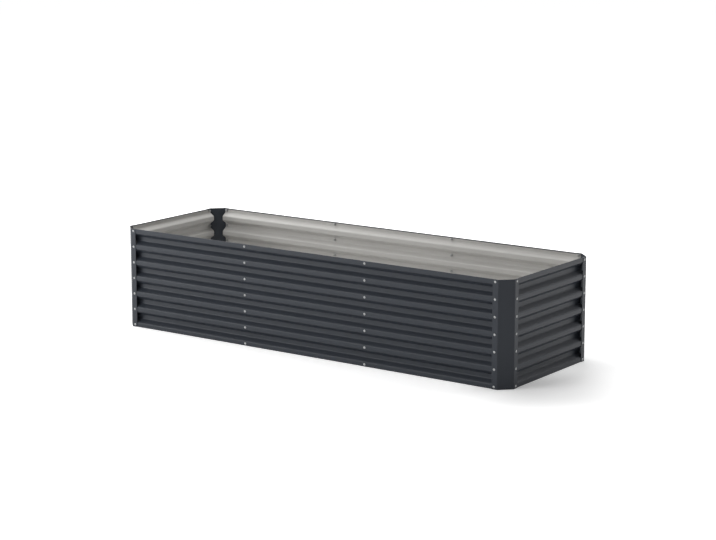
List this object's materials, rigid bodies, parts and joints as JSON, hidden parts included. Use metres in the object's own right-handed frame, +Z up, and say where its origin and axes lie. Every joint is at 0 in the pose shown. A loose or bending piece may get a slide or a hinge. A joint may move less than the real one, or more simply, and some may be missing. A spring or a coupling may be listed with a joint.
{
  "type": "raised garden bed",
  "caption": "Long rectangular raised garden bed of horizontally corrugated steel panels bolted to each other and to four chamfered corner posts, open at top and bottom.",
  "frame": {"origin": "on the ground at the middle of the bed's plan", "axes": "+X along the length, to the right of someone who faces the front long side; +Y across the width, from the front side to the rear side; +Z up"},
  "size_m": [2.4062, 0.7962, 0.531],
  "materials": {
    "coated_sheet": "satin anthracite coating outside, pale grey coating inside",
    "coated_posts": "satin anthracite coating",
    "galvanised_strap": "dull galvanised",
    "zinc_plated_fasteners": "bright zinc plated"
  },
  "bodies": {
    "root": {"front_left_panel": "coated_sheet", "front_middle_panel": "coated_sheet", "front_right_panel": "coated_sheet", "rear_left_panel": "coated_sheet", "rear_middle_panel": "coated_sheet", "rear_right_panel": "coated_sheet", "left_end_panel": "coated_sheet", "right_end_panel": "coated_sheet", "front_left_post": "coated_posts", "front_right_post": "coated_posts", "rear_left_post": "coated_posts", "rear_right_post": "coated_posts", "left_cross_tie": "galvanised_strap", "right_cross_tie": "galvanised_strap", "front_left_corner_bolts": "zinc_plated_fasteners", "front_left_corner_washers": "zinc_plated_fasteners", "front_left_corner_nuts": "zinc_plated_fasteners", "front_left_joint_bolts": "zinc_plated_fasteners", "front_left_joint_washers": "zinc_plated_fasteners", "front_left_joint_nuts": "zinc_plated_fasteners", "front_right_joint_bolts": "zinc_plated_fasteners", "front_right_joint_washers": "zinc_plated_fasteners", "front_right_joint_nuts": "zinc_plated_fasteners", "front_right_corner_bolts": "zinc_plated_fasteners", "front_right_corner_washers": "zinc_plated_fasteners", "front_right_corner_nuts": "zinc_plated_fasteners", "rear_left_corner_bolts": "zinc_plated_fasteners", "rear_left_corner_washers": "zinc_plated_fasteners", "rear_left_corner_nuts": "zinc_plated_fasteners", "rear_left_joint_bolts": "zinc_plated_fasteners", "rear_left_joint_washers": "zinc_plated_fasteners", "rear_left_joint_nuts": "zinc_plated_fasteners", "rear_right_joint_bolts": "zinc_plated_fasteners", "rear_right_joint_washers": "zinc_plated_fasteners", "rear_right_joint_nuts": "zinc_plated_fasteners", "rear_right_corner_bolts": "zinc_plated_fasteners", "rear_right_corner_washers": "zinc_plated_fasteners", "rear_right_corner_nuts": "zinc_plated_fasteners", "right_end_front_bolts": "zinc_plated_fasteners", "right_end_front_washers": "zinc_plated_fasteners", "right_end_front_nuts": "zinc_plated_fasteners", "right_end_rear_bolts": "zinc_plated_fasteners", "right_end_rear_washers": "zinc_plated_fasteners", "right_end_rear_nuts": "zinc_plated_fasteners", "left_end_front_bolts": "zinc_plated_fasteners", "left_end_front_washers": "zinc_plated_fasteners", "left_end_front_nuts": "zinc_plated_fasteners", "left_end_rear_bolts": "zinc_plated_fasteners", "left_end_rear_washers": "zinc_plated_fasteners", "left_end_rear_nuts": "zinc_plated_fasteners"}
  },
  "joints": []
}
